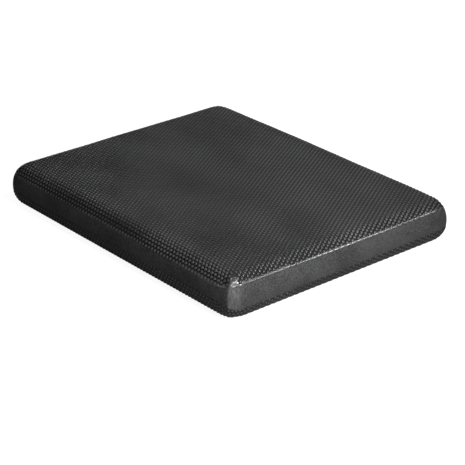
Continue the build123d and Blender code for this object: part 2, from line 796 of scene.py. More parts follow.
@dataclass(frozen=True)
class PipSkinFinish(Finish):
    """Black thermoplastic elastomer pips, embossed: black at the foot with painted shade, rubbed waxy and
    dusty on the tip.

    Attributes:
        foot: Colour at the foot of a pip, darker than the tip as painted shade where the pip meets the sheet.
        dusty_foot: Colour there on the level face, where dust settles.
        tip: Colour of the pips.
        pale: Colour of the tips where they are dusty.
        pressed: Colour of the pips that are pressed flat at a corner, paler than the rest as a painted
            highlight.
        roughness: Roughness of a clean pip.
        dusty_roughness: Roughness of a dusty one.
        cloud_mm: Size of the slow changes of tone.
        cloud_stretch: Their size along X as a share of their size along Y, the way the sheet was rolled.
    """

    name: str = "embossed_black_elastomer"
    foot: str = "0c0c0d"
    dusty_foot: str = "1c1c1d"
    tip: str = "1b1b1c"
    pale: str = "535354"
    pressed: str = "4c4c4d"
    roughness: float = 0.27
    dusty_roughness: float = 0.38
    cloud_mm: float = 90.0
    cloud_stretch: float = 0.5

    def shade(self, tree: bpy.types.NodeTree) -> bpy.types.NodeSocket:
        """Adds the nodes, which read how high a point is on its pip.

        Args:
            tree: The material's empty tree.

        Returns:
            The socket of the shader.
        """
        place = add_node(tree, "ShaderNodeTexCoord").outputs["Object"]
        height = add_node(tree, "ShaderNodeAttribute", {"attribute_name": "pip_height"})
        rolled = add_node(tree, "ShaderNodeMapping", {}, {
            "Vector": place, "Scale": (1 / self.cloud_stretch, 1, 1)})
        clouds = add_node(tree, "ShaderNodeTexNoise", {"noise_dimensions": "3D"}, {
            "Vector": rolled.outputs[0], "Scale": 1 / (self.cloud_mm * MM), "Detail": 0.0})
        dust = add_node(tree, "ShaderNodeMapRange", {}, {
            "Value": clouds.outputs["Fac"], "From Min": 0.1, "From Max": 0.9})
        tips = add_node(tree, "ShaderNodeMix", {"data_type": "RGBA"}, {
            "Factor": dust.outputs["Result"], 6: linear(self.tip), 7: linear(self.pale)})
        domed = add_node(tree, "ShaderNodeMapRange", {"interpolation_type": "SMOOTHSTEP"}, {
            "Value": height.outputs["Fac"], "From Min": 0.1, "From Max": 0.8})
        # Feet are darker than the tips: painted shade where each pip meets the sheet, paler on the level face
        # where dust settles.
        feet = add_node(tree, "ShaderNodeMix", {"data_type": "RGBA"}, {
            "Factor": level_share(tree), 6: linear(self.foot), 7: linear(self.dusty_foot)})
        colour = add_node(tree, "ShaderNodeMix", {"data_type": "RGBA"}, {
            "Factor": domed.outputs["Result"], 6: feet.outputs[2], 7: tips.outputs[2]})
        # Pressed pips turn paler: a painted highlight on the glazed margin and near corner.
        flat = add_node(tree, "ShaderNodeAttribute", {"attribute_name": "pressed"})
        painted_highlight_colour = add_node(tree, "ShaderNodeMix", {"data_type": "RGBA"}, {
            "Factor": flat.outputs["Fac"], 6: colour.outputs[2], 7: linear(self.pressed)})
        gloss = add_node(tree, "ShaderNodeMapRange", {}, {
            "Value": dust.outputs["Result"], "To Min": self.roughness, "To Max": self.dusty_roughness})
        shader = add_node(tree, "ShaderNodeBsdfPrincipled", {}, {
            "Base Color": painted_highlight_colour.outputs[2], "Roughness": gloss.outputs["Result"], "IOR": ELASTOMER_IOR})
        return shader.outputs["BSDF"]


@dataclass(frozen=True)
class SheetFinish(Finish):
    """The plain elastomer sheet between and beside the pips.

    The embossing roller leaves the valleys dead matt, so they stay black. Where the press closed on the
    margin and gathers, the sheet is glazed and catches the light.

    Attributes:
        colour: Its colour.
        dusty: Its colour on the level face, where dust settles.
        roughness: Its roughness.
        gloss: How strongly it mirrors, from 0 to 1.
        grain_mm: Size of the roller's grain, drawn coarser than the real 0.2 mm so that it shows.
        grain_depth_mm: Depth of that grain.
    """

    colour: str
    dusty: str
    roughness: float
    gloss: float
    grain_mm: float = 0.8
    grain_depth_mm: float = 0.03

    def shade(self, tree: bpy.types.NodeTree) -> bpy.types.NodeSocket:
        """Adds the nodes.

        Args:
            tree: The material's empty tree.

        Returns:
            The socket of the shader.
        """
        place = add_node(tree, "ShaderNodeTexCoord").outputs["Object"]
        grain = add_node(tree, "ShaderNodeTexNoise", {"noise_dimensions": "3D"}, {
            "Vector": place, "Scale": 1 / (self.grain_mm * MM), "Detail": 2.0, "Roughness": 0.6})
        speck = add_node(tree, "ShaderNodeMath", {"operation": "MULTIPLY"}, {
            0: level_share(tree), 1: grain.outputs["Fac"]})
        colour = add_node(tree, "ShaderNodeMix", {"data_type": "RGBA"}, {
            "Factor": speck.outputs[0], 6: linear(self.colour), 7: linear(self.dusty)})
        relief = add_node(tree, "ShaderNodeBump", {}, {
            "Strength": 1.0, "Distance": self.grain_depth_mm * MM, "Height": grain.outputs["Fac"]})
        shader = add_node(tree, "ShaderNodeBsdfPrincipled", {}, {
            "Base Color": colour.outputs[2], "Roughness": self.roughness, "IOR": ELASTOMER_IOR,
            "Specular IOR Level": self.gloss, "Normal": relief.outputs["Normal"]})
        return shader.outputs["BSDF"]


@dataclass(frozen=True)
class StripFinish(Finish):
    """Black thermoplastic elastomer strip, skived from a block: a dry, dull surface with a fine open grain.

    Attributes:
        dark: Colour of the strip.
        pale: Colour where it is rubbed or dusty.
        roughness: Its roughness.
        grain_mm: Size of the grain, drawn coarser than the real 0.3 mm so that it shows.
        grain_depth_mm: Depth of the grain.
        cloud_mm: Size of the slow changes of tone.
        streaked_painted_light: Pale colour of the upright streaks where the strip is drawn taut round the
            near corner, much paler than the strip as painted light on the corner's lit side.
        streak_mm: Width of those streaks, drawn coarser than the real 0.5 mm so that they show.
        streak_share: Width of a streak as a share of its length.
    """

    name: str = "skived_black_elastomer_strip"
    dark: str = "1a1a1b"
    pale: str = "3f3f40"
    roughness: float = 0.8
    grain_mm: float = 1.7
    grain_depth_mm: float = 0.03
    cloud_mm: float = 45.0
    streaked_painted_light: str = "585859"
    streak_mm: float = 1.8
    streak_share: float = 0.15

    def shade(self, tree: bpy.types.NodeTree) -> bpy.types.NodeSocket:
        """Adds the nodes.

        Args:
            tree: The material's empty tree.

        Returns:
            The socket of the shader.
        """
        place = add_node(tree, "ShaderNodeTexCoord").outputs["Object"]
        clouds = add_node(tree, "ShaderNodeTexNoise", {"noise_dimensions": "3D"}, {
            "Vector": place, "Scale": 1 / (self.cloud_mm * MM), "Detail": 3.0, "Roughness": 0.55})
        grain = add_node(tree, "ShaderNodeTexNoise", {"noise_dimensions": "3D"}, {
            "Vector": place, "Scale": 1 / (self.grain_mm * MM), "Detail": 3.0, "Roughness": 0.65})
        fleck = add_node(tree, "ShaderNodeMapRange", {}, {
            "Value": grain.outputs["Fac"],
            "From Min": 0.42, "From Max": 0.58, "To Min": -0.5, "To Max": 0.5})
        drift = add_node(tree, "ShaderNodeMapRange", {}, {
            "Value": clouds.outputs["Fac"], "From Min": 0.2, "From Max": 0.8})
        share = add_node(tree, "ShaderNodeMath", {"operation": "ADD", "use_clamp": True}, {
            0: drift.outputs["Result"], 1: fleck.outputs["Result"]})
        colour = add_node(tree, "ShaderNodeMix", {"data_type": "RGBA"}, {
            "Factor": share.outputs[0], 6: linear(self.dark), 7: linear(self.pale)})
        # Pale upright streaks where the band notes 'drawn': the strip drawn taut, painted paler as painted
        # light on the near corner's lit side.
        drawn = add_node(tree, "ShaderNodeAttribute", {"attribute_name": "drawn"})
        upright = add_node(tree, "ShaderNodeMapping", {}, {
            "Vector": place, "Scale": (1, 1, self.streak_share)})
        streaks = add_node(tree, "ShaderNodeTexNoise", {"noise_dimensions": "3D"}, {
            "Vector": upright.outputs[0], "Scale": 1 / (self.streak_mm * MM),
            "Detail": 2.0, "Roughness": 0.5})
        streak = add_node(tree, "ShaderNodeMapRange", {}, {
            "Value": streaks.outputs["Fac"], "From Min": 0.3, "From Max": 0.7})
        painted_light_share = add_node(tree, "ShaderNodeMath", {"operation": "MULTIPLY"}, {
            0: drawn.outputs["Fac"], 1: streak.outputs["Result"]})
        painted_streaks = add_node(tree, "ShaderNodeMix", {"data_type": "RGBA"}, {
            "Factor": painted_light_share.outputs[0], 6: colour.outputs[2], 7: linear(self.streaked_painted_light)})
        relief = add_node(tree, "ShaderNodeBump", {}, {
            "Strength": 1.0, "Distance": self.grain_depth_mm * MM, "Height": grain.outputs["Fac"]})
        shader = add_node(tree, "ShaderNodeBsdfPrincipled", {}, {
            "Base Color": painted_streaks.outputs[2], "Roughness": self.roughness,
            "Normal": relief.outputs["Normal"], "IOR": ELASTOMER_IOR})
        return shader.outputs["BSDF"]


@dataclass(frozen=True)
class FoamFinish(Finish):
    """Black closed-cell foam, cut to slabs: fully dull, with a fine field of open cells.

    Attributes:
        wall: Colour of the cell walls.
        shaded_pit: Colour inside the cells, darker than the walls as painted shade in the cut pits.
        cell_mm: Size of a cell, drawn coarser than the real 0.3 mm so that it shows.
        pit_mm: Depth of a cut cell.
        roughness: Its roughness.
    """

    name: str = "black_closed_cell_foam"
    wall: str = "2a2a2b"
    shaded_pit: str = "101011"
    cell_mm: float = 1.2
    pit_mm: float = 0.1
    roughness: float = 0.9

    def shade(self, tree: bpy.types.NodeTree) -> bpy.types.NodeSocket:
        """Adds the nodes.

        Args:
            tree: The material's empty tree.

        Returns:
            The socket of the shader.
        """
        place = add_node(tree, "ShaderNodeTexCoord").outputs["Object"]
        cells = add_node(tree, "ShaderNodeTexVoronoi", {"feature": "F1"}, {
            "Vector": place, "Scale": 1 / (self.cell_mm * MM)})
        # Cells are painted darker inside than on their walls: painted shade in the pits.
        colour = add_node(tree, "ShaderNodeMix", {"data_type": "RGBA"}, {
            "Factor": cells.outputs["Distance"], 6: linear(self.shaded_pit), 7: linear(self.wall)})
        relief = add_node(tree, "ShaderNodeBump", {}, {
            "Strength": 0.8, "Distance": self.pit_mm * MM, "Height": cells.outputs["Distance"]})
        shader = add_node(tree, "ShaderNodeBsdfPrincipled", {}, {
            "Base Color": colour.outputs[2], "Roughness": self.roughness, "Normal": relief.outputs["Normal"]})
        return shader.outputs["BSDF"]


# ---------------------------------------------------------------------------------------------------------
# Pips
# ---------------------------------------------------------------------------------------------------------


@dataclass(frozen=True)
class PipRows:
    """The raised pips of an anti-slip sheet, in staggered rows.

    Attributes:
        pitch_across: Distance between pips in a row along X.
        pitch_along: Distance between pips in a row along Y.
        bow: How far the rows sag towards -Y at the sheet's sides, where it was drawn through the rollers.
        bow_span: Distance from the middle at which the sag is measured.
        diameter: Diameter at the foot of a pip.
        height: Height of a pip above the sheet.
        uneven: Greatest share by which a pip is lower than the rest.
        seed: Seed of that unevenness.
        spare: How much further than the sheet the rows are laid out, so that their bow leaves no gap.
    """

    pitch_across: float = 10.0 * MM
    pitch_along: float = 6.33 * MM
    bow: float = 5 * MM
    bow_span: float = 200 * MM
    diameter: float = 5.0 * MM
    height: float = 1.35 * MM
    uneven: float = 0.12
    seed: int = 7
    spare: float = 1.1

    def seats(self, half_sheet: np.ndarray) -> np.ndarray:
        """Lists the pips' places on the flat sheet.

        Args:
            half_sheet: Half sizes of the flat sheet.

        Returns:
            One row of x and y for each pip.
        """
        pitch = np.array([self.pitch_across, self.pitch_along])
        count = np.ceil(half_sheet * self.spare / pitch).astype(int)
        column, row = np.meshgrid(*(np.arange(-n, n + 1) for n in count))
        plain = np.column_stack([column.ravel(), row.ravel()]) * pitch
        places = np.vstack([plain, plain + pitch / 2])
        places[:, 1] -= self.bow * (places[:, 0] / self.bow_span) ** 2
        return places

    def tree(self) -> bpy.types.NodeTree:
        """Builds the node tree that puts a dome on every point of a mesh.

        Returns:
            The tree, with inputs for the pips' sizes, seed and material.
        """
        tree = bpy.data.node_groups.new("pip_rows", "GeometryNodeTree")
        tree.interface.new_socket("Geometry", in_out="INPUT", socket_type="NodeSocketGeometry")
        for name, kind in (("Diameter", "NodeSocketFloat"), ("Height", "NodeSocketFloat"),
                           ("Uneven", "NodeSocketFloat"), ("Seed", "NodeSocketInt"),
                           ("Material", "NodeSocketMaterial")):
            tree.interface.new_socket(name, in_out="INPUT", socket_type=kind)
        tree.interface.new_socket("Geometry", in_out="OUTPUT", socket_type="NodeSocketGeometry")
        given = add_node(tree, "NodeGroupInput").outputs
        # A cone of two bands whose points move out and up onto a dome: share 1 is the foot, 0 the tip
        radius = add_node(tree, "ShaderNodeMath", {"operation": "MULTIPLY"}, {0: given["Diameter"], 1: 0.5})
        cone = add_node(tree, "GeometryNodeMeshCone", {"fill_type": "NONE"}, {
            "Vertices": 8, "Side Segments": 2, "Radius Top": 0.0, "Radius Bottom": radius.outputs[0],
            "Depth": given["Height"]})
        place = add_node(tree, "GeometryNodeInputPosition")
        axes = add_node(tree, "ShaderNodeSeparateXYZ", {}, {0: place.outputs[0]})
        flat = add_node(tree, "ShaderNodeCombineXYZ", {}, {0: axes.outputs[0], 1: axes.outputs[1]})
        way = add_node(tree, "ShaderNodeVectorMath", {"operation": "NORMALIZE"}, {0: flat.outputs[0]})
        run = add_node(tree, "ShaderNodeVectorMath", {"operation": "LENGTH"}, {0: flat.outputs[0]})
        share = add_node(tree, "ShaderNodeMath", {"operation": "DIVIDE"}, {
            0: run.outputs["Value"], 1: radius.outputs[0]})
        turn = add_node(tree, "ShaderNodeMath", {"operation": "MULTIPLY"}, {
            0: share.outputs[0], 1: QUARTER_TURN})
        sine = add_node(tree, "ShaderNodeMath", {"operation": "SINE"}, {0: turn.outputs[0]})
        cosine = add_node(tree, "ShaderNodeMath", {"operation": "COSINE"}, {0: turn.outputs[0]})
        reach = add_node(tree, "ShaderNodeMath", {"operation": "MULTIPLY"}, {
            0: sine.outputs[0], 1: radius.outputs[0]})
        spread = add_node(tree, "ShaderNodeVectorMath", {"operation": "SCALE"}, {
            0: way.outputs[0], "Scale": reach.outputs[0]})
        level = add_node(tree, "ShaderNodeMath", {"operation": "MULTIPLY"}, {
            0: cosine.outputs[0], 1: given["Height"]})
        shaped = add_node(tree, "ShaderNodeCombineXYZ", {}, {2: level.outputs[0]})
        domed = add_node(tree, "ShaderNodeVectorMath", {"operation": "ADD"}, {
            0: spread.outputs[0], 1: shaped.outputs[0]})
        noted = add_node(tree, "GeometryNodeStoreNamedAttribute", {"data_type": "FLOAT", "domain": "POINT"}, {
            "Geometry": cone.outputs["Mesh"], "Name": "pip_height", "Value": cosine.outputs[0]})
        dome = add_node(tree, "GeometryNodeSetPosition", {}, {
            "Geometry": noted.outputs[0], "Position": domed.outputs[0]})
        facing = add_node(tree, "GeometryNodeInputNamedAttribute", {"data_type": "FLOAT_VECTOR"}, {
            "Name": "facing"})
        fullness = add_node(tree, "GeometryNodeInputNamedAttribute", {"data_type": "FLOAT"}, {
            "Name": "fullness"})
        upright = add_node(tree, "FunctionNodeAlignRotationToVector", {"axis": "Z"}, {
            "Vector": facing.outputs["Attribute"]})
        lowest = add_node(tree, "ShaderNodeMath", {"operation": "SUBTRACT"}, {0: 1.0, 1: given["Uneven"]})
        chance = add_node(tree, "FunctionNodeRandomValue", {"data_type": "FLOAT"}, {
            2: lowest.outputs[0], 3: 1.0, "Seed": given["Seed"]})
        tall = add_node(tree, "ShaderNodeMath", {"operation": "MULTIPLY"}, {
            0: chance.outputs[1], 1: fullness.outputs["Attribute"]})
        size = add_node(tree, "ShaderNodeCombineXYZ", {}, {0: 1.0, 1: 1.0, 2: tall.outputs[0]})
        seated = add_node(tree, "GeometryNodeInstanceOnPoints", {}, {
            "Points": given["Geometry"], "Instance": dome.outputs[0], "Rotation": upright.outputs[0],
            "Scale": size.outputs[0]})
        real = add_node(tree, "GeometryNodeRealizeInstances", {}, {"Geometry": seated.outputs[0]})
        smooth = add_node(tree, "GeometryNodeSetShadeSmooth", {}, {"Geometry": real.outputs[0]})
        dressed = add_node(tree, "GeometryNodeSetMaterial", {}, {
            "Geometry": smooth.outputs[0], "Material": given["Material"]})
        add_node(tree, "NodeGroupOutput", {}, {"Geometry": dressed.outputs[0]})
        return tree

    def build(self, name: str, points: np.ndarray, normals: np.ndarray, fullness: np.ndarray,
              pressed: np.ndarray, material: bpy.types.Material) -> bpy.types.Object:
        """Makes the pips as one plain mesh.

        Args:
            name: The piece's name.
            points: Where each pip stands.
            normals: Which way each pip faces.
            fullness: Share of the full height that each pip has.
            pressed: How far each pip is pressed smooth.
            material: The finish.

        Returns:
            The object of all the pips.
        """
        host = mesh_object(name, points, [])
        for label, kind, key, values in (("facing", "FLOAT_VECTOR", "vector", normals),
                                         ("fullness", "FLOAT", "value", fullness),
                                         ("pressed", "FLOAT", "value", pressed)):
            attribute = host.data.attributes.new(label, kind, "POINT")
            attribute.data.foreach_set(key, np.asarray(values, np.float32).ravel())
        tree = self.tree()
        grower = host.modifiers.new("pips", "NODES")
        grower.node_group = tree
        given = {"Diameter": self.diameter, "Height": self.height, "Uneven": self.uneven, "Seed": self.seed,
                 "Material": material}
        for item in tree.interface.items_tree:
            if item.in_out == "INPUT" and item.name in given:
                grower[item.identifier] = given[item.name]
        apply_modifiers(host)
        return host


# ---------------------------------------------------------------------------------------------------------
# Pieces
# ---------------------------------------------------------------------------------------------------------


@dataclass
class PipSkin:
    """An anti-slip skin: an elastomer sheet with raised pips, formed over one face and trimmed on the side.

    Attributes:
        form: The pad's form.
        face: The face that it covers.
        trim: Where it is trimmed.
        layer: Where the sheet's outer surface lies.
        pips: Its pips.
        sheet_thickness: Thickness of the sheet between the pips.
        rim_rows: Steps of the mesh from the inner rectangle to the trimmed edge.
        steps: Steps of the mesh along each long side, each short side and each corner.
        drawn_flat: Share of their height that the pips lose where the sheet is drawn over a corner.
        margin: Width of the smooth pressed margin at the top skin's trimmed edge.
        margin_fade: Width over which the pips rise beside it.
        near_widening: How much wider it is at the near corner, as a share.
        near_span: How far from that corner the widening reaches.
        gather_heading: Where the sheet is gathered and pressed at the near corner.
        gather_width: Half width of that place, in degrees.
        gather_reach: How far from the trimmed edge it is wholly pressed.
        gather_fade: Width over which it ends past that.
        gather_squareness: Even power of its fade to both sides.
        ungathered: Gathered share up to which pips are left standing.
        pressed_low: Share of their height that the pips lose where they are pressed.
        overhang: How far past the trimmed edge a pip's middle may be, as a share of its diameter.
        foot_sink: How far the pips' feet are sunk into the sheet.
        rim_start: Distance out from the inner rectangle where the sheet starts to be drawn over the edge.
        rim_fade: Width over which it comes to be drawn.
    """

    form: PadForm
    face: Face
    trim: TrimLine
    layer: float
    pips: PipRows
    sheet_thickness: float = 1.0 * MM
    rim_rows: int = 40
    steps: tuple[int, int, int] = (96, 76, 28)
    drawn_flat: float = 0.35
    margin: float = 1.7 * MM
    margin_fade: float = 0.8 * MM
    near_widening: float = 0.9
    near_span: float = 70 * MM
    gather_heading: float = 234.0
    gather_width: float = 15.0
    gather_reach: float = 15 * MM
    gather_fade: float = 12 * MM
    gather_squareness: int = 4
    ungathered: float = 0.8
    pressed_low: float = 0.88
    overhang: float = 0.25
    foot_sink: float = 0.03 * MM
    rim_start: float = 12 * MM
    rim_fade: float = 10 * MM

    def left_to_edge(self, sheet: np.ndarray) -> np.ndarray:
        """Gives how much sheet is left between points and the trimmed edge.

        Args:
            sheet: Points on the flat sheet.

        Returns:
            The distance along the sheet for each point, below 0 past the edge.
        """
        base, direction, run = self.form.outward(sheet)
        return self.form.reach(self.face, self.trim.height(base, direction)) - run

    def gathered(self, sheet: np.ndarray) -> np.ndarray:
        """Gives how far the top sheet is gathered and pressed smooth at the near corner.

        Args:
            sheet: Points on the flat sheet.

        Returns:
            A share from 0 to 1 for each point.
        """
        heading = heading_of(self.form.outward(sheet)[1])
        round_corner = bell((heading - self.gather_heading) / self.gather_width, self.gather_squareness)
        past = (self.left_to_edge(sheet) - self.gather_reach) / self.gather_fade
        return round_corner * (1 - smoothstep(past)) * (self.face is Face.TOP)

    def pressed(self, sheet: np.ndarray) -> np.ndarray:
        """Gives how far the top sheet is pressed smooth, along its trimmed edge and where it gathers.

        Args:
            sheet: Points on the flat sheet.

        Returns:
            A share from 0 to 1 for each point.
        """
        away = np.linalg.norm(self.form.outward(sheet)[0] + self.form.inner, axis=1)
        width = self.margin * (1 + self.near_widening * bell(away / self.near_span))
        past = (self.left_to_edge(sheet) - width) / self.margin_fade
        return np.maximum((1 - smoothstep(past)) * (self.face is Face.TOP), self.gathered(sheet))

    def sheet_points(self) -> tuple[np.ndarray, list[tuple[int, ...]]]:
        """Lays out the flat sheet: a grid in the middle and rings out to the trimmed edge.

        Returns:
            Points on the flat sheet, and the faces between them.
        """
        per_side, per_end, _ = self.steps
        cx, cy = self.form.inner
        grid_x, grid_y = np.meshgrid(np.linspace(-cx, cx, per_end + 1), np.linspace(-cy, cy, per_side + 1))
        points = [np.column_stack([grid_x.ravel(), grid_y.ravel()])]
        across = per_end + 1
        faces = [(j * across + i, j * across + i + 1, (j + 1) * across + i + 1, (j + 1) * across + i)
                 for j in range(per_side) for i in range(per_end)]
        base, direction = self.form.round_trip(*self.steps)
        edge = self.form.reach(self.face, self.trim.height(base, direction))
        first, around = len(points[0]), len(base)
        for k in range(self.rim_rows + 1):
            points.append(base + direction * (edge * k / self.rim_rows)[:, None])
        faces += [(a, d, c, b) for a, b, c, d in ring_faces(first, around, self.rim_rows)]
        return np.vstack(points), faces

    def build_sheet(self, name: str) -> bpy.types.Object:
        """Makes the sheet, with its thickness.

        Args:
            name: The piece's name.

        Returns:
            The sheet's object.
        """
        flat, faces = self.sheet_points()
        points, _ = self.form.lay(flat, self.face, self.layer)
        if self.face is Face.BOTTOM:
            faces = [tuple(reversed(f)) for f in faces]
        sheet = mesh_object(name, points, faces)
        note(sheet, "pressed", self.pressed(flat))
        merge_doubles(sheet, distance=0.01 * MM)
        thicken(sheet, self.sheet_thickness)
        return sheet

    def press(self, sheet: bpy.types.Object, material: bpy.types.Material) -> None:
        """Gives the parts of the sheet that are pressed smooth their own finish.

        Args:
            sheet: The sheet, which has its plain finish already.
            material: The finish of the pressed parts.
        """
        sheet.data.materials.append(material)
        share = noted(sheet, "pressed")
        for face in sheet.data.polygons:
            face.material_index = int(share[list(face.vertices)].mean() > 0.5)

    def build_pips(self, name: str, material: bpy.types.Material) -> bpy.types.Object:
        """Makes the pips that stand on the sheet, cut where the sheet is trimmed.

        Args:
            name: The piece's name.
            material: The finish.

        Returns:
            The pips' object.
        """
        form = self.form
        seats = self.pips.seats(form.inner + form.thickness)
        base, direction, run = form.outward(seats)
        edge = form.reach(self.face, self.trim.height(base, direction))
        kept = (run < edge + self.overhang * self.pips.diameter) & (self.gathered(seats) < self.ungathered)
        seats, base, direction, run = seats[kept], base[kept], direction[kept], run[kept]
        points, normals = form.lay(seats, self.face, self.layer - self.foot_sink)
        corner = np.abs(np.sin(2 * np.radians(heading_of(direction)))) ** 2
        on_rim = smoothstep((run - self.rim_start) / self.rim_fade)
        pressed = self.pressed(seats)
        fullness = (1 - self.drawn_flat * corner * on_rim) * (1 - self.pressed_low * pressed)
        pips = self.pips.build(name, points, normals, fullness, pressed, material)
        self.trim_pips(pips)
        return pips

    def trim_pips(self, pips: bpy.types.Object) -> None:
        """Cuts the pips square at the sheet's trimmed edge, by moving what is past it back along the side.

        Args:
            pips: The pips as one mesh.
        """
        form, mesh = self.form, pips.data
        points = np.empty(len(mesh.vertices) * 3)
        mesh.vertices.foreach_get("co", points)
        points = points.reshape(-1, 3)
        base, direction, _ = form.outward(points[:, :2])
        height = form.nominal_height(points)
        lean = form.lean(height)
        foot = height - (self.layer + noted(pips, "pip_height") * self.pips.height) * np.sin(lean)
        beyond = np.maximum(self.face.value * (self.trim.height(base, direction) - foot), 0)
        on_side = np.any(direction, axis=1)
        least_cosine = 0.2
        back = self.face.value * beyond * on_side / np.maximum(np.cos(lean), least_cosine)
        points[:, :2] -= direction * (np.sin(lean) * back)[:, None]
        points[:, 2] += np.cos(lean) * back
        mesh.vertices.foreach_set("co", points.ravel())
        mesh.update()
        merge_doubles(pips, distance=0.02 * MM)


@dataclass
class SideBand:
    """The smooth strip round the side, butted end to end near one corner and tucked under both skins.

    Attributes:
        form: The pad's form.
        lower: Trimmed edge of the bottom skin.
        upper: Trimmed edge of the top skin.
        layer: Where its outer surface lies.
        tuck: How far it runs on under each skin.
        sink: How much deeper it lies under a skin.
        sink_fade: Share of the tuck over which it sinks to that.
        sink_lead: Share of that fade which lies outside the skin's edge.
        thickness: Its thickness.
        rows: Steps of the mesh from its lower edge to its upper one.
        steps: Steps of the mesh along each long side, each short side and each corner.
        joint_heading: Where the butt joint is.
        joint_width: Half width of the joint's line, in degrees.
        joint_depth: Depth of the joint's line.
        painted_light_from: Heading where its pale streaks start round the near corner, where it is drawn taut
            and painted light on the corner's lit side.
        painted_light_rise: Degrees over which they come in fully.
        painted_light_to: Heading where they start to fade again.
        painted_light_fall: Degrees over which they fade.
    """

    form: PadForm
    lower: TrimLine
    upper: TrimLine
    layer: float
    tuck: float = 3 * MM
    sink: float = 1.2 * MM
    sink_fade: float = 0.4
    sink_lead: float = 0.4
    thickness: float = 1.2 * MM
    rows: int = 44
    steps: tuple[int, int, int] = (120, 96, 64)
    joint_heading: float = 237.5
    joint_width: float = 0.9
    joint_depth: float = 0.8 * MM
    painted_light_from: float = 217.0
    painted_light_rise: float = 5.0
    painted_light_to: float = 236.0
    painted_light_fall: float = 26.0

    def build(self, name: str) -> bpy.types.Object:
        """Makes the band as one closed ring with its thickness.

        Args:
            name: The piece's name.

        Returns:
            The band's object.
        """
        base, direction = self.form.round_trip(*self.steps)
        low = self.lower.height(base, direction)
        high = self.upper.height(base, direction)
        heading = heading_of(direction)
        joint = self.joint_depth * bell((heading - self.joint_heading) / self.joint_width)
        rings = []
        for t in np.linspace(0, 1, self.rows + 1):
            height = (low - self.tuck) * (1 - t) + (high + self.tuck) * t
            hidden = np.maximum(low - height, height - high)
            sunk = self.sink * smoothstep(hidden / (self.sink_fade * self.tuck) + self.sink_lead)
            rings.append(self.form.on_side(base, direction, height, self.layer - sunk - joint))
        band = mesh_object(name, np.vstack(rings), ring_faces(0, len(base), self.rows))
        # The near corner's pale streaks: painted light on its lit side, where the strip is drawn taut round
        # it.
        painted_light_on = smoothstep((heading - self.painted_light_from) / self.painted_light_rise)
        painted_light_off = smoothstep((heading - self.painted_light_to) / self.painted_light_fall)
        note(band, "drawn", np.tile(painted_light_on * (1 - painted_light_off), self.rows + 1))
        thicken(band, self.thickness)
        return band


@dataclass
class FoamCore:
    """The closed-cell foam slabs inside the skins.

    Attributes:
        nodes: The CAD nodes that hold the slabs, from the bottom up.
        voxel: Size of the voxels that round the slabs' cut edges.
    """

    nodes: tuple[str, ...] = ("core_lower", "core_middle", "core_upper")
    voxel: float = 4.5 * MM

    def slab(self, node: str) -> bpy.types.Object:
        """Makes one slab: a foam block with softly rounded cut edges.

        Args:
            node: The slab's CAD node.

        Returns:
            The slab's object.
        """
        slab = put(node + "_foam", bpy.data.objects[node].data.copy())
        slab.data.name = slab.name
        merge_doubles(slab, distance=0.001 * MM)
        cells = slab.modifiers.new("cells", "REMESH")
        cells.mode = "VOXEL"
        cells.voxel_size = self.voxel
        cells.use_smooth_shade = True
        apply_modifiers(slab)
        return slab


# ---------------------------------------------------------------------------------------------------------
# Studio
# ---------------------------------------------------------------------------------------------------------


def way_from(azimuth: float, elevation: float) -> Vector:
    """Gives the way from the pad to a place round it.

    Args:
        azimuth: Degrees from the front towards the right.
        elevation: Degrees above the horizon.

    Returns:
        A unit vector.
    """
    turn, rise = math.radians(azimuth), math.radians(elevation)
    return Vector((math.sin(turn) * math.cos(rise), -math.cos(turn) * math.cos(rise), math.sin(rise)))


@dataclass(frozen=True)
class Softbox:
    """A square studio lamp that looks at the pad's middle.

    Attributes:
        name: The lamp's name.
        azimuth: Where it stands round the pad, in degrees from the front towards the right.
        elevation: How high it stands, in degrees.
        distance: How far away it stands.
        size: Length of its edge.
        power: Its power in watts.
    """

    name: str
    azimuth: float
    elevation: float
    distance: float
    size: float
    power: float

    def build(self, middle: Vector) -> None:
        """Adds the lamp to the scene.

        Args:
            middle: The pad's middle, which it is aimed at.
        """
        lamp = bpy.data.lights.new(self.name, "AREA")
        lamp.shape = "SQUARE"
        lamp.size = self.size
        lamp.energy = self.power
        holder = put(self.name, lamp)
        away = way_from(self.azimuth, self.elevation)
        holder.location = middle + away * self.distance
        holder.rotation_mode = "QUATERNION"
        holder.rotation_quaternion = away.to_track_quat("Z", "Y")


@dataclass(frozen=True)
class PaperFinish(Finish):
    """Matt white paper, which glows a little to the eye alone, so that it looks white and keeps the shadow.

    Attributes:
        grey: Its colour as the pad sees it.
        glow: Strength of that glow, where 1 is white.
    """

    name: str = "matt_white_paper"
    grey: str = "a0a0a0"
    glow: float = 0.93

    def shade(self, tree: bpy.types.NodeTree) -> bpy.types.NodeSocket:
        """Adds the nodes.

        Args:
            tree: The material's empty tree.

        Returns:
            The socket of the shader.
        """
        path = add_node(tree, "ShaderNodeLightPath").outputs
        paper = add_node(tree, "ShaderNodeBsdfDiffuse", {}, {"Color": linear(self.grey)})
        glow = add_node(tree, "ShaderNodeEmission", {}, {"Color": WHITE, "Strength": self.glow})
        both = add_node(tree, "ShaderNodeAddShader", {}, {0: paper.outputs[0], 1: glow.outputs[0]})
        seen = add_node(tree, "ShaderNodeMixShader", {}, {
            "Fac": path["Is Camera Ray"], 1: paper.outputs[0], 2: both.outputs[0]})
        return seen.outputs[0]


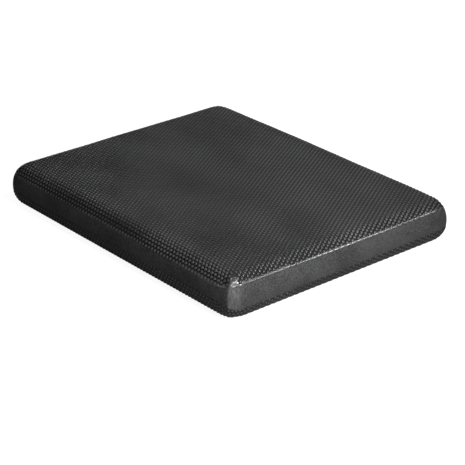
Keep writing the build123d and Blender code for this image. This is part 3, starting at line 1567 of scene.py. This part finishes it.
@dataclass
class Studio:
    """White floor and backdrop, plain soft lamps, and the main camera.

    Attributes:
        azimuth: The camera's place round the pad, in degrees from the front towards the right.
        elevation: The camera's place above the horizon, in degrees.
        distance: Distance from the camera to the pad's middle.
        focal_pixels: Focal length in pixels of a square picture picture_pixels wide.
        picture_pixels: Width of that picture.
        sensor_mm: Width of the camera's sensor.
        across: Framing shift of the camera to its right.
        upward: Framing shift of the camera upwards.
        lamps: The lamps.
        fill: Strength of the even fill light.
        floor_half: Half the floor's width.
    """

    azimuth: float = -40.02
    elevation: float = 25.25
    distance: float = 2.427
    focal_pixels: float = 1744.0
    picture_pixels: float = 465.0
    sensor_mm: float = 36.0
    across: float = 10.58 * MM
    upward: float = -44.89 * MM
    # Name, azimuth, elevation, distance, size, power
    lamps: tuple[Softbox, ...] = (
        Softbox("key_softbox", -14, 27, 1.0, 0.35, 9.6),
        Softbox("front_softbox", 15, 28, 2.2, 0.8, 1.5),
        Softbox("corner_softbox", 25, 60, 2.2, 0.45, 8.0),
        Softbox("edge_softbox", 44, 33, 2.2, 0.3, 6.0),
        Softbox("side_softbox", 80, 30, 2.2, 0.9, 0.5),
        Softbox("rear_softbox", 140, 27, 2.2, 0.6, 8.5),
        Softbox("left_softbox", -112, 18, 2.2, 0.5, 2.5),
    )
    fill: float = 0.02
    floor_half: float = 6.0

    def build(self, middle: Vector) -> None:
        """Adds the camera, the lamps, the floor and the world.

        Args:
            middle: The pad's middle.
        """
        self.build_camera(middle)
        for lamp in self.lamps:
            lamp.build(middle)
        self.build_floor()
        self.build_world()

    def build_camera(self, middle: Vector) -> None:
        """Adds the main camera, which looks past the pad's middle by the framing shift.

        Args:
            middle: The pad's middle.
        """
        back = way_from(self.azimuth, self.elevation)
        right = (-back).cross(Vector((0, 0, 1))).normalized()
        up = right.cross(-back).normalized()
        lens = bpy.data.cameras.new("main_camera")
        lens.sensor_width = self.sensor_mm
        lens.lens = self.focal_pixels * self.sensor_mm / self.picture_pixels
        lens.clip_start, lens.clip_end = 0.05, 50.0
        camera = put("main_camera", lens)
        axes = Matrix((right, up, back)).transposed()
        place = middle + back * self.distance + right * self.across + up * self.upward
        camera.matrix_world = Matrix.Translation(place) @ axes.to_4x4()
        bpy.context.scene.camera = camera

    def build_floor(self) -> None:
        """Adds the floor, which is white to the eye and keeps the pad's soft shadow."""
        corners = np.array([(-1, -1, 0), (1, -1, 0), (1, 1, 0), (-1, 1, 0)]) * self.floor_half
        floor = mesh_object("studio_floor", corners, [(0, 1, 2, 3)])
        floor.data.materials.append(PaperFinish().material())

    def build_world(self) -> None:
        """Adds a white backdrop for the eye, and an even fill light."""
        world = bpy.data.worlds.new("studio_world")
        world.use_nodes = True
        tree = world.node_tree
        tree.nodes.clear()
        path = add_node(tree, "ShaderNodeLightPath").outputs
        fill = add_node(tree, "ShaderNodeBackground", {}, {"Color": WHITE, "Strength": self.fill})
        white = add_node(tree, "ShaderNodeBackground", {}, {"Color": WHITE, "Strength": 1.0})
        seen = add_node(tree, "ShaderNodeMixShader", {}, {
            "Fac": path["Is Camera Ray"], 1: fill.outputs[0], 2: white.outputs[0]})
        add_node(tree, "ShaderNodeOutputWorld", {}, {"Surface": seen.outputs[0]})
        bpy.context.scene.world = world


# ---------------------------------------------------------------------------------------------------------
# The pad
# ---------------------------------------------------------------------------------------------------------


# Trimmed heights at the two ends of each side, and where the edge was drawn down at the corners
UPPER_TRIM = {Side.FRONT: (49.2 * MM, 48.6 * MM), Side.RIGHT: (47.6 * MM, 47.6 * MM),
              Side.BACK: (48.0 * MM, 47.0 * MM), Side.LEFT: (45.4 * MM, 45.2 * MM)}
UPPER_DIPS = (Dip(220, -1.9 * MM, 16), Dip(318, 3.0 * MM), Dip(48, 4.0 * MM), Dip(132, 3.4 * MM))
LOWER_TRIM = {Side.FRONT: (18.8 * MM, 21.8 * MM), Side.RIGHT: (20.0 * MM, 20.0 * MM),
              Side.BACK: (20.0 * MM, 21.0 * MM), Side.LEFT: (23.2 * MM, 26.4 * MM)}
LOWER_DIPS = (Dip(240, 3.0 * MM, 14), Dip(315, 1.5 * MM), Dip(45, 2.0 * MM), Dip(135, 1.2 * MM))

# How far outside the nominal surface each piece's outer surface lies
TOP_SHEET_LAYER = -0.95 * MM
BOTTOM_SHEET_LAYER = -0.92 * MM
BAND_LAYER = -0.8 * MM

TOP_PIPS = PipRows()
BOTTOM_PIPS = PipRows(diameter=3.6 * MM, height=0.9 * MM)

VALLEYS = SheetFinish(
    "embossed_sheet_valleys", colour="151516", dusty="242425", roughness=0.7, gloss=0.25)
# The underside's sheet is painted a little paler than the top's valleys: painted light on the low strip, with
# a real gloss.
UNDERSIDE_PAINTED_LIGHT = SheetFinish(
    "embossed_sheet_floor_worn", colour="1a1a1b", dusty="1a1a1b", roughness=0.6, gloss=0.4)
# Glazed sheet, smooth and glossy, painted paler than the valleys as a painted highlight on the trimmed margin
# and the near corner.
PRESSED_PAINTED_HIGHLIGHT = SheetFinish(
    "pressed_sheet_margin", colour="303031", dusty="303031", roughness=0.2, gloss=0.9)


def main() -> None:
    """Builds the studio and every piece of the pad, in order."""
    logging.basicConfig(level=logging.INFO, format="%(name)s %(message)s")
    bpy.context.scene.view_settings.view_transform = "Standard"
    low, high = CAD_BOX
    size = high - low
    form = PadForm(size.x, size.y, size.z - PadForm.crown)
    Studio().build(Vector((0, 0, form.thickness / 2)))

    upper = TrimLine(form.inner, UPPER_TRIM, UPPER_DIPS)
    lower = TrimLine(form.inner, LOWER_TRIM, LOWER_DIPS, sway=0.4 * MM)
    pip_material, band_material = PipSkinFinish().material(), StripFinish().material()
    valleys, underside_painted_light, pressed = VALLEYS.material(), UNDERSIDE_PAINTED_LIGHT.material(), PRESSED_PAINTED_HIGHLIGHT.material()

    for skin, label, sheet_material in (
            (PipSkin(form, Face.TOP, upper, TOP_SHEET_LAYER, TOP_PIPS), "top", valleys),
            (PipSkin(form, Face.BOTTOM, lower, BOTTOM_SHEET_LAYER, BOTTOM_PIPS), "bottom", underside_painted_light)):
        sheet = skin.build_sheet(label + "_skin_sheet")
        settle(sheet, "pip_skin", sheet_material, label + "_skin")
        skin.press(sheet, pressed)
        settle(skin.build_pips(label + "_skin_pips", pip_material), "pip_skin", pip_material)

    band = SideBand(form, lower, upper, BAND_LAYER).build("side_band_strip")
    settle(band, "band_skin", band_material, "side_band")

    foam = FoamFinish().material()
    core = FoamCore()
    for node in core.nodes:
        slab = core.slab(node)
        settle(slab, "core_foam", foam, node)


if __name__ == "__main__":
    main()
